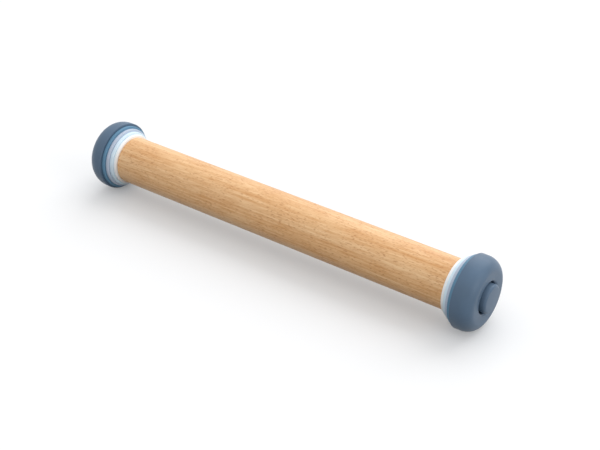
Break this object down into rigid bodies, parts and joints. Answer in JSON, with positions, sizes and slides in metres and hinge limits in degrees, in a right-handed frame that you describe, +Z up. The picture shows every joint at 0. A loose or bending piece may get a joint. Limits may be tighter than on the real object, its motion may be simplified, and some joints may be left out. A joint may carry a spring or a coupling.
{
  "type": "adjustable rolling pin",
  "caption": "Beech rolling pin with stepped, removable thickness rings and a domed end disc on each end, clamped by screw-in end knobs.",
  "frame": {"origin": "on the surface that the pin rests on, midway between its ends and straight below its axis", "axes": "+X along the barrel towards the right-hand knob, +Z up, +Y to the back"},
  "size_m": [0.417, 0.0638, 0.0638],
  "materials": {
    "beech": "oiled, fine straight grain",
    "white": "satin moulded",
    "pale_blue": "satin moulded",
    "lavender_grey": "satin moulded",
    "mid_blue": "satin moulded",
    "slate": "satin moulded",
    "natural_nylon": "natural moulded nylon",
    "rubber": "matt",
    "zinc_steel": "zinc plated"
  },
  "bodies": {
    "barrel_body": {"barrel": "beech", "threaded_insert_right": "natural_nylon", "anchor_screw_right": "zinc_steel", "threaded_insert_left": "natural_nylon", "anchor_screw_left": "zinc_steel"},
    "ring_2mm_right_body": {"ring_2mm_right": "white"},
    "ring_4mm_right_body": {"ring_4mm_right": "pale_blue"},
    "ring_6mm_right_body": {"ring_6mm_right": "lavender_grey"},
    "ring_8mm_right_body": {"ring_8mm_right": "mid_blue"},
    "end_disc_right_body": {"end_disc_right": "slate"},
    "washer_right_body": {"friction_washer_right": "rubber"},
    "knob_right_body": {"knob_right": "slate", "clamp_screw_right": "natural_nylon"},
    "ring_2mm_left_body": {"ring_2mm_left": "white"},
    "ring_4mm_left_body": {"ring_4mm_left": "pale_blue"},
    "ring_6mm_left_body": {"ring_6mm_left": "lavender_grey"},
    "ring_8mm_left_body": {"ring_8mm_left": "mid_blue"},
    "end_disc_left_body": {"end_disc_left": "slate"},
    "washer_left_body": {"friction_washer_left": "rubber"},
    "knob_left_body": {"knob_left": "slate", "clamp_screw_left": "natural_nylon"}
  },
  "joints": [
    {"name": "ring_2mm_right_slide", "type": "slide", "parent": "barrel_body", "child": "ring_2mm_right_body", "axis": [1, 0, 0], "range_m": [0, 0.00334]},
    {"name": "ring_4mm_right_slide", "type": "slide", "parent": "barrel_body", "child": "ring_4mm_right_body", "axis": [1, 0, 0], "range_m": [0, 0.00667]},
    {"name": "ring_6mm_right_slide", "type": "slide", "parent": "barrel_body", "child": "ring_6mm_right_body", "axis": [1, 0, 0], "range_m": [0, 0.01001]},
    {"name": "ring_8mm_right_slide", "type": "slide", "parent": "barrel_body", "child": "ring_8mm_right_body", "axis": [1, 0, 0], "range_m": [0, 0.01334]},
    {"name": "end_disc_right_slide", "type": "slide", "parent": "barrel_body", "child": "end_disc_right_body", "axis": [1, 0, 0], "range_m": [0, 0.01667]},
    {"name": "knob_right_travel", "type": "slide", "parent": "barrel_body", "child": "washer_right_body", "axis": [1, 0, 0], "range_m": [0, 0.02001]},
    {"name": "knob_right_turn", "type": "hinge", "parent": "washer_right_body", "child": "knob_right_body", "pos_m": [0.1918, 0, 0.03192], "axis": [1, 0, 0], "range_deg": [0, 1800]},
    {"name": "ring_2mm_left_slide", "type": "slide", "parent": "barrel_body", "child": "ring_2mm_left_body", "axis": [-1, 0, 0], "range_m": [0, 0.00334]},
    {"name": "ring_4mm_left_slide", "type": "slide", "parent": "barrel_body", "child": "ring_4mm_left_body", "axis": [-1, 0, 0], "range_m": [0, 0.00667]},
    {"name": "ring_6mm_left_slide", "type": "slide", "parent": "barrel_body", "child": "ring_6mm_left_body", "axis": [-1, 0, 0], "range_m": [0, 0.01001]},
    {"name": "ring_8mm_left_slide", "type": "slide", "parent": "barrel_body", "child": "ring_8mm_left_body", "axis": [-1, 0, 0], "range_m": [0, 0.01334]},
    {"name": "end_disc_left_slide", "type": "slide", "parent": "barrel_body", "child": "end_disc_left_body", "axis": [-1, 0, 0], "range_m": [0, 0.01667]},
    {"name": "knob_left_travel", "type": "slide", "parent": "barrel_body", "child": "washer_left_body", "axis": [-1, 0, 0], "range_m": [0, 0.02001]},
    {"name": "knob_left_turn", "type": "hinge", "parent": "washer_left_body", "child": "knob_left_body", "pos_m": [-0.1918, 0, 0.03192], "axis": [-1, 0, 0], "range_deg": [0, 1800]}
  ],
  "couplings": [
    {"joint": "ring_2mm_right_slide", "follows": "knob_right_turn", "m_per_rad": 0.0001061},
    {"joint": "ring_4mm_right_slide", "follows": "knob_right_turn", "m_per_rad": 0.0002122},
    {"joint": "ring_6mm_right_slide", "follows": "knob_right_turn", "m_per_rad": 0.0003183},
    {"joint": "ring_8mm_right_slide", "follows": "knob_right_turn", "m_per_rad": 0.0004244},
    {"joint": "end_disc_right_slide", "follows": "knob_right_turn", "m_per_rad": 0.0005305},
    {"joint": "knob_right_travel", "follows": "knob_right_turn", "m_per_rad": 0.00063662},
    {"joint": "ring_2mm_left_slide", "follows": "knob_left_turn", "m_per_rad": 0.0001061},
    {"joint": "ring_4mm_left_slide", "follows": "knob_left_turn", "m_per_rad": 0.0002122},
    {"joint": "ring_6mm_left_slide", "follows": "knob_left_turn", "m_per_rad": 0.0003183},
    {"joint": "ring_8mm_left_slide", "follows": "knob_left_turn", "m_per_rad": 0.0004244},
    {"joint": "end_disc_left_slide", "follows": "knob_left_turn", "m_per_rad": 0.0005305},
    {"joint": "knob_left_travel", "follows": "knob_left_turn", "m_per_rad": 0.00063662}
  ]
}
